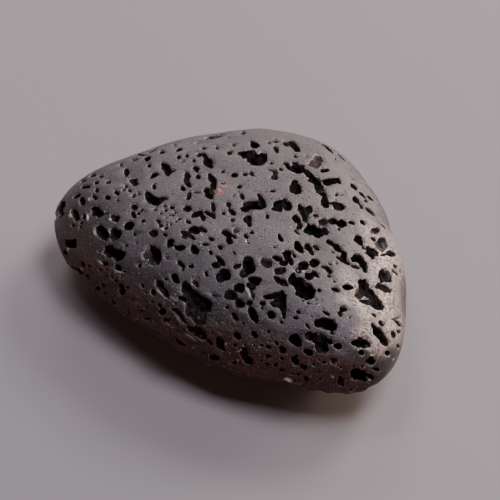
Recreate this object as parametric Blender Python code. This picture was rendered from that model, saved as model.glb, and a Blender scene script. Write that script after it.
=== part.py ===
"""Lava rock: one tumbled pebble of vesicular basalt, a single natural solid.

Metres, +Z up. The stone lies on its worn flat at z = 0 with its narrow nose
towards -X, and the origin is under the middle of its outline.
"""

import math
import random

import bmesh
import bpy
import numpy as np
from mathutils import Matrix, Vector
from mathutils.bvhtree import BVHTree

MM = 0.001

# ---- body ----------------------------------------------------------------
THICKNESS = 16.0 * MM        # before the resting flat is worn off
SHOULDER = 0.4625            # share of the thickness above the widest level
SQUARENESS = 2.3             # 2 is an ellipsoid, larger is blockier
FLAT_WEAR = 0.9 * MM         # thickness lost at the resting flat
LEAN = -0.06                 # rise of the whole body towards +Y, per mm
POLE = (2.95 * MM, -4.36 * MM)   # the outline's radii start here
# radii of the widest level, mm, every 22.5 degrees from +X towards +Y
OUTLINE = (18.6, 18.9, 21.3, 24.6, 25.3, 25.2, 26.4, 26.7,
           19.9, 15.1, 13.4, 12.9, 14.1, 17.3, 21.8, 19.9)
SWELL = 0.05 * MM            # height of each broad, gentle swell
SWELLS = ((0.42, 0.21, 0.35, 0.4), (-0.27, 0.46, 0.52, 1.9),
          (0.61, -0.33, -0.4, 3.1), (0.12, 0.71, -0.3, 5.0))  # per mm, phase

# ---- vesicles ------------------------------------------------------------
# The openings are laid out on a square sheet of 500 units, held level in
# front of the stone and tipped back, with one eye point for every line.
SHEET_UNIT = 0.128 * MM
SHEET_TILT = 48.0            # degrees above the horizon that the eye looks from
EYE_DISTANCE = 320.0 * MM
SHEET_CENTRE = (2.71 * MM, 7.70 * MM, -0.6 * MM)
# x, y, half length, half width, turn in degrees (sheet units)
OPENINGS = (
    (254, 157.5, 12.5, 5.8, 8), (295, 186, 7.5, 5.6, 70), (311, 177, 9, 4.6, 44),
    (323, 194, 12.5, 4.4, 70), (155, 200.5, 10, 4.4, 14),
    (102, 232.5, 7.5, 5, 65), (113, 253.5, 9.8, 6.3, 14), (152.5, 254.5, 10.5, 6, 61),
    (228, 235, 7.5, 5, 45), (251, 206, 11, 6, 0), (282.5, 205.3, 10.5, 5.8, 0),
    (316, 229.5, 10.5, 5.8, 12), (285.5, 258, 11.5, 7, 5), (246, 267, 10.5, 7.4, 70),
    (337, 222.3, 8.2, 4.8, 20), (340, 251, 9.5, 4.6, 42), (361.5, 262.5, 9.5, 5.2, 42),
    (161.8, 289, 11, 5.2, 57), (223.5, 276, 7.8, 6.5, -35),
    (196, 303, 21, 10.5, 58), (197, 334, 10, 5.4, 33), (272, 297, 9, 4.8, 0),
    (283, 305, 12.5, 3.4, 85), (300, 287.5, 15.5, 12, 48), (325.5, 325, 11.8, 7.4, 5),
    (296, 340.5, 7.8, 5.3, 50), (317.5, 341.5, 13, 8.2, 48), (246, 356.5, 8.5, 5, 62),
    (221, 345.5, 8.3, 4.8, 55), (364.5, 287.5, 10, 6.2, 68), (377, 305, 8.2, 5.5, 28),
    (383.5, 287.8, 8.8, 4.4, 25), (379.5, 335, 14.5, 4.8, 56),
    (361, 344, 9.5, 5.2, 8), (359, 378, 9, 6.2, 14),
)
DEPTH_SHARE = 0.85           # vesicle depth over its mean half width
DEEPEST = 1.15 * MM
FLANK_STRETCH = 2.0          # most that a steep flank lengthens an opening
FAR_SIDE_VESICLES = 11       # of like size, where the sheet can't reach
FAR_SIDE_SEED = 27

COLOUR = (0.052, 0.043, 0.045, 1.0)


# ---- the body's surface --------------------------------------------------
def spline_weights(radii):
    """Control values of the closed cubic B-spline through the radii."""
    n = len(radii)
    a = np.zeros((n, n))
    for i in range(n):
        a[i, i - 1] += 1 / 6
        a[i, i] += 4 / 6
        a[i, (i + 1) % n] += 1 / 6
    return np.linalg.solve(a, np.array(radii))


CONTROL = spline_weights(OUTLINE)


def outline_radius(turn):
    n = len(CONTROL)
    u = (turn / (2 * math.pi) * n) % n
    i = int(u)
    t = u - i
    p = [CONTROL[(i + k) % n] for k in (-1, 0, 1, 2)]
    return MM * (p[0] * (1 - t) ** 3 + p[1] * (3 * t ** 3 - 6 * t * t + 4)
                 + p[2] * (-3 * t ** 3 + 3 * t * t + 3 * t + 1)
                 + p[3] * t ** 3) / 6


def on_body(u):
    """The body's surface point for a direction u on the unit sphere."""
    power = 2 / SQUARENESS
    r = outline_radius(math.atan2(u.y, u.x)) * max(0.0, 1 - u.z * u.z) ** (power / 2)
    flat = math.hypot(u.x, u.y) or 1.0
    rise = abs(u.z) ** power * THICKNESS
    rise *= SHOULDER if u.z > 0 else SHOULDER - 1
    p = Vector((r * u.x / flat, r * u.y / flat, rise))
    swell = sum(math.sin((a * p.x + b * p.y + c * p.z) / MM + d)
                for a, b, c, d in SWELLS)
    p += Vector((u.x, u.y, u.z)) * SWELL * swell
    p.z += LEAN * p.y
    middle = (1 - SHOULDER) * THICKNESS - FLAT_WEAR
    return p + Vector((POLE[0], POLE[1], middle))


# ---- the scene's objects -------------------------------------------------
def fresh_collection(name):
    made = bpy.data.collections.new(name)
    bpy.context.scene.collection.children.link(made)
    return made


def add_object(name, bm, collection):
    mesh = bpy.data.meshes.new(name)
    bm.to_mesh(mesh)
    bm.free()
    made = bpy.data.objects.new(name, mesh)
    collection.objects.link(made)
    return made


def make_body(collection):
    bm = bmesh.new()
    bmesh.ops.create_icosphere(bm, subdivisions=5, radius=1.0)
    for v in bm.verts:
        v.co = on_body(v.co.normalized())
    bmesh.ops.recalc_face_normals(bm, faces=bm.faces)
    bm.normal_update()
    tree = BVHTree.FromBMesh(bm)
    return add_object("stone", bm, collection), tree


def add_cutter(name, matrix, collection):
    bm = bmesh.new()
    bmesh.ops.create_icosphere(bm, subdivisions=2, radius=1.0)
    bmesh.ops.transform(bm, matrix=matrix, verts=bm.verts)
    if matrix.to_3x3().determinant() < 0:
        bmesh.ops.reverse_faces(bm, faces=bm.faces)
    return add_object(name, bm, collection)


def hollow(centre, along, across, inward):
    """Matrix from the unit sphere to a vesicle's ellipsoid."""
    depth = min(DEEPEST, DEPTH_SHARE * math.sqrt(along.length * across.length))
    m = Matrix.Identity(4)
    for i, column in enumerate((along, across, inward * depth, centre)):
        for j in range(3):
            m[j][i] = column[j]
    return m


def sheet_frame():
    tilt = math.radians(SHEET_TILT)
    back = Vector((0, -math.cos(tilt), math.sin(tilt)))
    up = Vector((0, math.sin(tilt), math.cos(tilt)))
    eye = Vector(SHEET_CENTRE) + back * EYE_DISTANCE
    return eye, back, Vector((1, 0, 0)), up


def near_side_hollows(tree):
    eye, back, right, up = sheet_frame()
    for x, y, half_length, half_width, turn in OPENINGS:
        sx, sy = (x - 250) * SHEET_UNIT, (250 - y) * SHEET_UNIT
        ray = (right * sx + up * sy - back * EYE_DISTANCE).normalized()
        centre, normal = tree.ray_cast(eye, ray)[:2]
        if centre is None:
            continue
        a = math.radians(turn)
        reach = (centre - eye).length / EYE_DISTANCE * SHEET_UNIT
        axes = []
        for direction, size in ((right * math.cos(a) - up * math.sin(a), half_length),
                                (right * math.sin(a) + up * math.cos(a), half_width)):
            slid = direction - ray * (direction.dot(normal) / ray.dot(normal))
            slid *= min(1.0, FLANK_STRETCH / slid.length)
            axes.append(slid * size * reach)
        yield hollow(centre, axes[0], axes[1], -normal)


def far_side_hollows(tree):
    """Vesicles of like size on the sides that the layout sheet can't reach."""
    rng = random.Random(FAR_SIDE_SEED)
    eye = sheet_frame()[0]
    placed = []
    while len(placed) < FAR_SIDE_VESICLES:
        u = Vector((rng.gauss(0, 1), rng.gauss(0, 1), rng.gauss(0, 1) - 0.4)).normalized()
        centre, normal = tree.find_nearest(on_body(u))[:2]
        size = rng.uniform(0.75, 1.35) * MM
        if (normal.dot((eye - centre).normalized()) > 0.0
                or centre.z < 2.2 * MM
                or any((centre - c).length < 4.2 * MM for c in placed)):
            continue
        placed.append(centre)
        side = normal.orthogonal().normalized()
        side.rotate(Matrix.Rotation(rng.uniform(0, math.pi), 3, normal))
        yield hollow(centre, side * size * 1.25, normal.cross(side) * size * 0.8, -normal)


def rock_material():
    mat = bpy.data.materials.new("basalt")
    mat.use_nodes = True
    shader = mat.node_tree.nodes["Principled BSDF"]
    shader.inputs["Base Color"].default_value = COLOUR
    shader.inputs["Roughness"].default_value = 0.55
    shader.inputs["Metallic"].default_value = 0.0
    mat.diffuse_color = COLOUR
    return mat


def main():
    for old in list(bpy.data.objects):
        bpy.data.objects.remove(old, do_unlink=True)
    part = fresh_collection("lava_rock")
    cutters = fresh_collection("cutters")

    stone, tree = make_body(part)
    stone.data.materials.append(rock_material())

    # the worn flat that the stone rests on
    bm = bmesh.new()
    bmesh.ops.create_cube(bm, size=1.0)
    bmesh.ops.transform(bm, matrix=Matrix.Translation((0, 0, -0.005))
                        @ Matrix.Diagonal((0.06, 0.06, 0.01, 1)), verts=bm.verts)
    ground = add_object("worn_away", bm, cutters)

    tools = [ground]
    for i, m in enumerate(near_side_hollows(tree)):
        tools.append(add_cutter("vesicle_%02d" % (i + 1), m, cutters))
    for i, m in enumerate(far_side_hollows(tree)):
        tools.append(add_cutter("far_vesicle_%02d" % (i + 1), m, cutters))
    for tool in tools:
        tool.hide_render = True
        tool.display_type = 'WIRE'

    cut = stone.modifiers.new("vesicles", 'BOOLEAN')
    cut.operation = 'DIFFERENCE'
    cut.solver = 'EXACT'
    cut.operand_type = 'COLLECTION'
    cut.collection = cutters

    stone.data.shade_smooth()
    stone.data.set_sharp_from_angle(angle=math.radians(35))


main()
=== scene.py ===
"""Lava rock: the looks of a tumbled pebble of vesicular basalt.

The stone is carved as a distance field: a worn body, hundreds of vesicles
that the wear has cut open, and the smaller bubbles in their walls. The
field is meshed once, as one closed skin that stands for the CAD solid.
"""

import math
import random

import bpy
import numpy as np
import openvdb
from mathutils import Matrix, Vector
from mathutils.bvhtree import BVHTree


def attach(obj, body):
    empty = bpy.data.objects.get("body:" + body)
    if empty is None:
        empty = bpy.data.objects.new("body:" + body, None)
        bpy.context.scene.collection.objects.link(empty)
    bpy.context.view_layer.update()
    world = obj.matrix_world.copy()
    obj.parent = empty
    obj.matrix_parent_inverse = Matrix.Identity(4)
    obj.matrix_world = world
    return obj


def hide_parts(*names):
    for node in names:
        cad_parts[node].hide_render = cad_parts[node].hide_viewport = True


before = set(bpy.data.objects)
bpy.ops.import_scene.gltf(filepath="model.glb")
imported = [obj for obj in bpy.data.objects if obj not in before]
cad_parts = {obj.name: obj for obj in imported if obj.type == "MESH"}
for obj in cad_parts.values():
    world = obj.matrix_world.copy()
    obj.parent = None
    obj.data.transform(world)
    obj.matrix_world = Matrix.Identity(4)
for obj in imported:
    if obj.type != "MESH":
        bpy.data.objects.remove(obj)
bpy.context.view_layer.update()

# ---- the worn body, in mm ----------------------------------------------------
THICKNESS = 16.0
SHOULDER = 0.4625
SQUARENESS = 2.3
FLAT_WEAR = 0.9
LEAN = -0.06
POLE = (2.95, -4.36)
OUTLINE = (18.6, 18.9, 21.3, 24.6, 25.3, 25.2, 26.4, 26.7,
           19.9, 15.1, 13.4, 12.9, 14.1, 17.3, 21.8, 19.9)
SWELL = 0.05
SWELLS = ((0.42, 0.21, 0.35, 0.4), (-0.27, 0.46, 0.52, 1.9),
          (0.61, -0.33, -0.4, 3.1), (0.12, 0.71, -0.3, 5.0))
MIDDLE = (1 - SHOULDER) * THICKNESS - FLAT_WEAR

# ---- the view, in mm and degrees ---------------------------------------------
TILT = math.radians(48.0)
DISTANCE = 320.0
UNIT = 0.128
AIM = np.array((2.71, 7.70, -0.6))
BACK = np.array((0.0, -math.cos(TILT), math.sin(TILT)))
RIGHT = np.array((1.0, 0.0, 0.0))
UP = np.array((0.0, math.sin(TILT), math.cos(TILT)))
EYE = AIM + BACK * DISTANCE

# ---- the carving grid, in mm -------------------------------------------------
VOXEL = 0.1
ORIGIN = np.array((-22.6, -21.9, -0.7))
CELLS = (452, 438, 169)
TRIANGLES = 196000
HEART = np.array((1.5, 0.5, 6.0))

# Vesicles seen from the front, on a 500-unit sheet in front of the eye:
# x, y, half length, half width, turn (degrees), depth factor.
VESICLES = (
    (92.8, 176.2, 2.6, 1.6, -20, 1), (101, 177, 1.8, 1.3, 0, 0.5), (83, 181.5, 2, 1.5, -20, 0.5),
    (86, 187, 4, 2, -5, 1), (96.5, 183.3, 1.8, 1.3, 0, 1), (97, 190, 2, 1.4, 90, 1),
    (108, 181.8, 1.6, 1.3, 30, 0.5), (76.5, 195.8, 2.8, 1.4, -25, 1),
    (82.2, 201.5, 4.2, 2.7, 75, 1), (94.5, 197, 3, 1.8, 35, 1), (107.5, 197.5, 2.6, 2.2, 40, 1),
    (116.5, 192.5, 3, 2.2, 45, 1), (117.5, 200, 1.6, 1.1, 10, 1), (126, 172, 3.8, 2, 85, 1),
    (121, 165, 2.2, 1, 80, 0.5), (133, 181.5, 3.8, 2.8, 40, 1), (126, 185.7, 1.5, 1.2, 90, 1),
    (123.5, 190, 1.4, 1.1, 0, 1), (129.8, 190.8, 1.6, 1, 40, 1), (133.7, 196, 1.7, 1.2, 20, 1),
    (139, 193.6, 1.8, 1.2, 45, 1), (135, 159.5, 2.5, 1.2, 0, 0.5), (141.5, 155, 3.2, 1.5, 5, 1),
    (147, 159, 2.8, 2.2, -45, 1), (149, 166, 1.6, 1.6, 0, 1), (152, 151, 3.6, 1.5, -25, 1),
    (162, 152.5, 2, 1.5, -10, 1), (165, 166, 5, 3, 50, 1), (167.5, 171.5, 4.2, 2.6, 85, 1.1),
    (172.5, 170.3, 2.6, 1, 0, 0.6), (154.5, 174.5, 3.6, 2.2, 0, 1), (151.5, 177, 1.5, 1, 0, 0.7),
    (154.3, 186, 3.2, 2.5, 70, 1), (174.5, 144.8, 2, 1.3, 20, 0.5),
    (178.5, 149.5, 2.6, 1.6, -20, 1), (178.8, 156.4, 1.8, 1.6, 0, 1),
    (187, 155.3, 2.2, 1.8, 60, 1), (182.5, 161.3, 1.8, 1.4, 0, 0.5),
    (193.8, 160.3, 2.6, 1.4, 55, 1), (197.2, 141, 2.2, 1.3, -60, 0.5),
    (203.8, 147.8, 2, 1.7, 0, 1), (214, 135.8, 7.5, 2, -10, 0.8), (227.8, 137.8, 1.5, 1.5, 0, 0.5),
    (216.5, 147, 2.6, 1.4, 60, 0.5), (229.7, 153, 1.8, 1.6, 0, 1), (234, 145, 1.6, 1.6, 0, 0.5),
    (199.5, 155, 2.8, 2.4, 0, 1), (207.5, 161, 7.2, 3.8, 55, 0.9), (195.8, 168.5, 3.6, 2.4, 60, 1),
    (198, 176.5, 2.6, 2, 80, 1), (186.8, 175, 3.5, 2.6, 80, 1), (186.5, 181, 5.5, 3.2, 60, 1.1),
    (190, 185.5, 2, 1.8, 0, 0.8), (182.5, 187.5, 3, 1.6, 55, 1), (188.5, 195.5, 4, 2.5, 100, 1),
    (211.5, 178.5, 6, 2.8, 55, 1), (213, 186.5, 4, 2.6, 50, 1), (208.8, 193, 6, 4.4, 60, 1.3),
    (196.5, 191.8, 4.2, 1.3, 12, 0.8), (223, 183.4, 2.6, 1, 5, 0.8),
    (223.2, 171, 1.5, 1.5, 0, 0.8), (234.5, 174.5, 3.6, 3, 30, 1), (239.5, 186.5, 2.4, 2, 0, 1),
    (150, 197, 6.5, 3.5, 40, 1), (155, 201.5, 7.5, 4, 0, 1), (162, 199, 4, 2.8, -15, 1),
    (242.7, 133, 1.6, 1.6, 0, 0.5), (254.5, 144.8, 3.4, 2.6, 30, 1), (248, 154.5, 8, 4.2, 5, 1.1),
    (254, 158.5, 8.5, 5.2, 10, 1.3), (262.5, 157.5, 6, 5, 90, 1.2), (269, 142.5, 1.4, 1.2, 0, 0.5),
    (276, 141, 3, 1.4, 5, 0.8), (276.3, 149, 3.4, 1.8, 60, 1), (286, 143, 3.2, 2, 25, 1),
    (295, 146, 6, 2.2, 50, 1), (295.8, 155.3, 2, 1.3, 50, 1), (307, 155.8, 2, 1.2, 50, 0.5),
    (317.5, 161, 6.8, 5, -60, 0.3), (325, 170.5, 4.2, 2.2, -8, 0.9),
    (271.8, 161.5, 1.6, 1.3, 0, 1), (296.5, 167, 7, 4.5, 35, 1), (287.5, 165, 4.5, 2, 50, 1),
    (284, 162.5, 2, 1.2, 20, 0.8), (281, 168.8, 2.6, 1.4, 35, 1), (271, 169, 4, 1, 10, 0.7),
    (275.5, 171.5, 2, 1.5, 60, 0.8), (275, 177.3, 3.3, 2.6, 0, 1), (245.3, 174, 1.8, 1.5, 20, 1),
    (251.8, 173.5, 3.2, 1.8, 65, 1), (272.8, 190.4, 2.4, 1.8, 0, 1), (295, 186, 7.5, 5.6, 70, 0.9),
    (308, 173, 6, 3, 40, 1), (315, 180, 7, 4, 45, 1.1), (321, 189, 7.5, 4, 60, 1.2),
    (325, 199, 8, 3.7, 84, 1.2), (332, 181, 8, 3.6, -5, 0.9), (241.5, 196, 3.4, 1.6, 62, 1),
    (233.8, 195.4, 1.2, 1, 0, 0.5), (284.4, 199.5, 1.6, 1.6, 0, 1),
    (327.5, 147.5, 7, 1.8, 42, 0.7), (342, 157, 5.5, 1.5, 38, 0.7), (336, 158, 1.8, 1.3, 60, 0.5),
    (353.5, 179, 2, 1.2, 50, 0.5), (365.5, 183, 2.8, 1.2, 30, 0.5), (353.8, 186.8, 4.4, 2, 48, 1),
    (362.5, 194.5, 4.5, 1.6, 45, 0.8), (371, 198, 3.8, 1.6, 40, 0.8), (366, 200.5, 1.5, 1.2, 0, 1),
    (356.5, 200, 5, 2, 50, 1), (337, 194.3, 1.6, 1.4, 0, 1), (341.8, 194.3, 0.9, 0.9, 0, 0.7),
    (60, 208, 6.5, 3, 100, 1), (75.5, 214.5, 6.5, 4, 75, 1), (80.3, 222.5, 2, 1.3, 0, 0.8),
    (73, 225.5, 1.6, 1.3, 0, 0.8), (80, 227, 1.7, 1, 90, 0.8), (83.5, 216, 2.2, 1.6, 90, 0.9),
    (97, 211, 6.2, 4.5, 20, 1.1), (106.5, 212.5, 1.3, 1.3, 0, 0.7), (116, 218, 5.2, 4.8, 0, 1),
    (128.5, 225.5, 5, 4.3, 60, 1.1), (102, 232.5, 7.5, 5, 65, 1), (115.2, 234, 6, 4.6, 75, 1.1),
    (134, 233.5, 2.8, 1.4, 75, 1), (134.5, 206.8, 4, 2.8, 10, 1), (133.2, 214.8, 3.8, 2.2, 60, 1),
    (142, 210.5, 2.6, 1.7, -20, 0.9), (138.5, 214, 1.7, 1.2, 60, 0.9),
    (142.7, 220.7, 1.8, 1.3, 0, 1), (135.7, 242, 1, 1, 0, 0.8), (126.3, 245.3, 1.6, 1.4, 0, 1),
    (98.5, 251, 2, 1.5, 0, 0.5), (108, 252.5, 6, 5.5, 0, 1.1), (117, 254.5, 7.5, 6, 30, 1.1),
    (104.5, 263.5, 5, 3.5, 10, 0.6), (117.5, 267.5, 4, 3, 60, 1), (100, 270.5, 2.2, 1.3, 60, 0.8),
    (139, 265.5, 2.4, 1.5, 90, 1), (123.5, 271.5, 2, 1.3, 0, 0.8), (107, 270, 1.8, 1.2, 20, 0.5),
    (69.5, 244, 5.5, 4.5, 20, 0.9), (65, 252.5, 2.2, 1.6, 40, 0.8), (82.5, 264, 3, 1.6, 60, 0.9),
    (76, 269.5, 5, 2, 30, 1), (171.5, 206.5, 2.5, 2, 0, 1), (165, 206, 1.6, 1.2, 0, 1),
    (165.5, 210.2, 1.4, 1.1, 0, 1), (155.5, 209.5, 1.2, 1.2, 0, 0.6), (187.2, 208, 3.6, 3, 30, 1),
    (195.5, 213.5, 4.3, 3, -20, 1), (199.5, 212, 3, 2.5, 30, 1), (202.3, 216.5, 4, 2.5, 70, 1),
    (193.5, 215.5, 2.2, 1.8, 0, 1), (207, 212, 2.6, 1.8, 30, 1), (212.5, 215, 3.6, 2, 45, 1),
    (213, 207.5, 3.2, 1.3, 75, 1), (212.5, 203, 1.3, 1, 0, 0.8), (228.8, 204, 3.2, 2.2, 45, 1),
    (232, 211.5, 4, 2.6, 40, 1), (223.5, 213, 1.8, 1.3, 45, 1), (232, 219.3, 1.6, 1.2, 40, 1),
    (188, 221.5, 3.4, 1.9, 40, 1), (161, 213, 1.1, 1, 0, 0.8), (166, 217, 1.2, 1, 0, 0.8),
    (169.5, 215, 1.2, 1, 0, 0.8), (173, 215, 1.4, 1.2, 0, 0.9), (175, 212, 1.1, 1, 0, 0.8),
    (156.8, 220, 1.1, 1, 0, 0.8), (159, 221.5, 2, 1.1, 90, 0.9), (167, 224.5, 1.1, 1, 0, 0.8),
    (170.8, 224.8, 2, 1.1, 80, 0.9), (176, 221.5, 1.2, 1, 0, 0.8),
    (179.3, 218.5, 1.2, 1.1, 0, 0.8), (161, 226, 1.1, 1, 0, 0.8), (165.7, 229, 1.3, 1, 0, 0.9),
    (153.8, 233.8, 4.5, 4, 0, 1.1), (165.2, 235.5, 3.2, 2, 25, 1),
    (170.3, 242.8, 4.6, 4.2, -30, 1.2), (180, 247.5, 5, 3.2, -5, 1),
    (194.3, 249.2, 5.2, 3.5, 60, 1.1), (195, 230, 6, 4.2, 10, 1), (202.5, 229.5, 5, 2.6, 25, 1),
    (188.5, 235.3, 8.5, 2.3, 32, 0.9), (184, 237.3, 3.2, 1.3, 15, 0.8), (205.3, 244, 3.3, 2, 5, 1),
    (210.5, 238.6, 2.8, 1.4, 25, 1), (220, 247, 3, 1.8, 35, 1), (210.2, 251.8, 2.8, 1.9, 55, 1),
    (220, 260, 6.5, 2.2, 52, 1), (216.3, 264.7, 4.8, 3.6, -20, 1.1),
    (180.5, 263.5, 4.2, 1.7, 42, 1), (182.3, 268.5, 1.1, 1, 0, 0.8), (190.8, 266, 2.7, 1.9, 10, 1),
    (150, 256, 12, 8, 60, 0.45), (154, 253, 8.5, 4.5, 62, 1.2), (145.5, 264.8, 2.2, 1.8, 0, 0.8),
    (167, 256.5, 3, 2.8, 0, 0.4), (234.2, 252.5, 2.9, 1.5, 60, 1), (205.8, 273, 2.6, 1.5, 60, 1),
    (227, 232.5, 5.5, 4, 20, 1.1), (229, 238.5, 5.5, 2.6, 80, 1.1), (234, 236.5, 3, 2, 20, 1),
    (236, 231, 3.4, 3, 0, 0.4), (246.5, 207.5, 6, 5.5, 90, 1.1), (256, 205.5, 8.5, 5.3, 5, 1.1),
    (261.5, 199, 6, 2.2, 58, 1), (277.8, 205.3, 6, 5.5, 90, 1.2), (288, 205.2, 5, 4.6, 0, 1.2),
    (267, 216.5, 2.9, 1.7, 80, 1), (247.5, 220, 5.2, 3.8, 55, 1.1), (249, 225, 3.5, 2.3, 80, 1),
    (251.3, 232.5, 2.3, 1.7, 0, 0.9), (246.2, 236.5, 3, 1.6, 55, 1),
    (248.3, 242.3, 1.8, 1.3, 0, 0.8), (280, 237, 4, 1.9, 60, 1), (274.4, 247.2, 1.9, 1.5, 0, 1),
    (302.5, 209.5, 7.5, 3.5, 60, 1), (305.5, 217.5, 4, 2, 100, 1),
    (309.5, 208.5, 3.5, 3.6, 0, 0.9), (315.2, 207, 1.2, 1.2, 0, 0.5), (316, 214.5, 2.5, 2.2, 0, 1),
    (296.5, 218, 4, 2.8, 60, 1), (299.3, 225.5, 3.5, 2.2, -60, 1), (296.7, 231, 3.5, 1.3, 50, 1),
    (312, 228, 6, 6, 0, 1.1), (318.5, 231.5, 8, 5, 15, 1.2), (324, 229.5, 3.8, 3.2, 100, 1),
    (322.8, 221.5, 5, 4.6, 0, 0.7), (299, 246.5, 8, 4, 62, 1.2), (307.5, 246.5, 3.8, 3, 45, 1),
    (311.3, 251.5, 3.8, 2.4, 65, 1), (316.5, 247, 3.8, 2, 30, 1), (287, 255.5, 7, 6, 0, 1.2),
    (294, 255.5, 3.5, 2.8, 40, 1), (278, 258, 6.5, 3.5, 20, 1), (284, 262.5, 5, 3.4, 10, 1),
    (291, 263, 3, 2.6, 80, 1), (266.5, 262.3, 6, 4.2, 30, 0.8), (280.8, 270.3, 5, 3.8, 10, 1.1),
    (247.5, 262.5, 6.5, 6.5, 0, 1.3), (249, 268, 5.5, 5, 60, 1.3), (243, 273, 4.3, 4.5, 0, 1.1),
    (237.5, 265, 4, 2.2, -30, 0.9), (304.5, 265.5, 5.5, 4.2, 30, 1), (298, 270.5, 3.2, 2.6, 90, 1),
    (314, 263, 5.2, 5, 0, 1.1), (336, 203, 4.5, 2.6, 10, 0.9), (342, 205.5, 3.5, 2, 60, 0.9),
    (338.5, 206, 6.3, 4.6, 10, 0.5), (361.3, 206.5, 2.6, 1.6, 50, 0.9),
    (370.3, 211, 4.8, 2, 38, 0.9), (351.2, 222.5, 3.4, 2, 10, 1), (362.8, 222.5, 2.9, 1.5, 60, 1),
    (333.5, 220.5, 4.6, 4, 0, 1.1), (341, 224, 5.8, 4.4, 15, 1.2),
    (338.7, 229.5, 1.8, 1.2, 40, 0.9), (375.5, 231, 4.5, 4, 0, 0.45),
    (383.5, 226.5, 4, 1.2, 48, 0.8), (374, 238.7, 2.8, 1.2, 20, 0.9),
    (382.5, 245, 7.5, 6.5, 60, 0.4), (382.5, 239, 3.8, 1.2, 5, 0.9), (359, 241, 5.6, 3.5, 50, 1.1),
    (363, 247.8, 1.3, 1.3, 0, 0.9), (331, 243, 5, 2.2, 30, 1), (338, 248.5, 6.5, 4, 40, 1.1),
    (344, 254, 5, 3.6, 60, 1.1), (333, 252.5, 2.8, 1.2, 30, 0.9), (343.5, 260, 8, 2, 28, 0.9),
    (358, 259, 6.5, 4, 15, 1.1), (364, 265, 6.8, 4, 50, 1.2), (355.5, 266.5, 4.5, 1.6, 20, 0.9),
    (372.5, 252.5, 7, 5.5, 20, 0.9), (384, 254.3, 4, 1.2, -8, 0.8), (392, 253.3, 5, 2.2, 22, 0.9),
    (330.5, 264, 3, 1.6, 25, 1), (336.8, 263.3, 2.8, 1.8, 30, 1), (324, 266.5, 3.5, 1.6, 20, 1),
    (329, 269, 3.6, 2.5, 40, 1), (395.5, 266.5, 2.2, 1.3, 45, 0.9), (394.5, 272, 4, 1.6, 50, 0.8),
    (401, 271.5, 2, 1, 60, 0.5), (120.3, 286.5, 3.5, 2.8, 80, 1.1), (121, 292.5, 4, 3, 70, 1.2),
    (141, 286, 3, 1.5, 60, 0.9), (152.5, 292.3, 3, 2.2, 75, 1), (137, 296.5, 1.5, 1.2, 30, 0.6),
    (118, 306, 2, 1, 30, 0.5), (140, 311, 3, 1.5, 30, 0.5), (165.5, 278.5, 2.6, 1.8, 0, 1),
    (173.6, 276, 3.4, 3, 30, 1.1), (175.8, 280.5, 4, 3, 30, 1.1), (159.5, 284, 5, 4, 50, 0.9),
    (164, 291.5, 7, 3.6, 58, 0.9), (182, 298.3, 4.5, 2.4, 12, 1), (177, 302, 4, 1.2, -30, 0.5),
    (195.5, 283.5, 4.5, 3, 60, 0.8), (205.8, 274, 3.2, 1.5, 65, 0.8),
    (225, 274, 6.2, 5.2, 60, 1.3), (220, 278, 4.6, 4.4, 0, 1.2), (229.5, 295.2, 6.4, 4.8, 40, 1),
    (214, 295, 3.8, 1.8, 20, 0.7), (226.5, 307, 2, 1.5, 0, 1), (186.5, 288, 6, 4, 45, 0.9),
    (194.5, 303, 20, 9.5, 62, 0.8), (203.5, 305, 8, 6.5, 65, 1.1), (199, 316, 8.5, 7.5, 60, 0.8),
    (191, 311, 7, 6, 70, 0.7), (200, 323, 7, 3.5, 20, 0.8), (197, 333, 9, 5.5, 30, 0.8),
    (190, 331, 5, 3, 40, 0.7), (201, 336, 5, 4, 60, 0.7), (160.5, 312.7, 3.6, 3, 20, 1),
    (180, 316, 10, 2, 55, 0.6), (153, 323, 4, 1.4, 40, 0.4), (180, 341.5, 8.5, 2.2, 35, 0.8),
    (217.5, 323, 1.8, 1.2, 40, 0.8), (234.5, 317, 5, 2.2, 55, 0.9),
    (239.5, 303.3, 5.2, 3.5, 35, 1.1), (249, 303, 2.6, 2.2, 0, 1), (236.5, 336, 4.5, 3.4, 60, 0.9),
    (221, 345, 8, 4.5, 55, 1), (210, 342.5, 3.2, 2.5, 60, 0.9), (215.5, 357, 5.2, 3, 10, 0.9),
    (227.5, 345, 2, 1.5, 40, 0.6), (173, 310, 3, 1.2, 50, 0.5), (255.5, 279, 6, 3.2, 15, 1.1),
    (257.5, 283, 2.5, 1.5, 70, 0.8), (251.5, 286.5, 5.8, 3.2, 42, 1.1),
    (252.5, 294.5, 4.5, 1.4, 75, 0.8), (238.5, 286, 5.3, 4.2, 0, 1.3), (262, 303, 2.8, 2.1, 0, 1),
    (262, 308, 1.4, 1.1, 60, 0.8), (253.3, 315, 8.5, 3.7, 65, 1.3),
    (270.8, 315.2, 5, 3.8, 25, 1.2), (268, 297, 5.5, 2.6, 5, 1), (277, 296, 6.5, 4.2, 0, 1.1),
    (283, 304, 13.5, 2.9, 86, 1.2), (276, 303.5, 5, 4.2, 0, 0.9), (272, 303, 3, 2.5, 0, 0.7),
    (281.5, 281.5, 7.5, 2.6, 35, 0.9), (293, 279, 3.6, 6.5, 0, 1.1), (299, 285, 9, 7, 45, 1.2),
    (305, 290, 10, 9.2, 0, 1.4), (301, 294, 6, 5, 0, 1.2), (309, 276.5, 4.6, 4.3, 0, 1.1),
    (315.5, 273.7, 5.2, 1.8, 45, 1), (319, 290.5, 1.3, 1.5, 0, 0.9), (308, 303, 1.3, 1, 30, 0.8),
    (298.5, 312, 1.9, 1.4, 60, 0.9), (295.5, 317.5, 2.7, 1.6, 0, 1.1),
    (311.5, 316, 1.6, 0.8, 60, 0.6), (326, 313, 4.8, 1.6, 33, 0.8),
    (307.5, 326.3, 3.9, 1.4, 55, 1), (323, 323.5, 9.3, 6.2, 20, 1.3), (329, 325.5, 8, 6, 5, 1.3),
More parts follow.
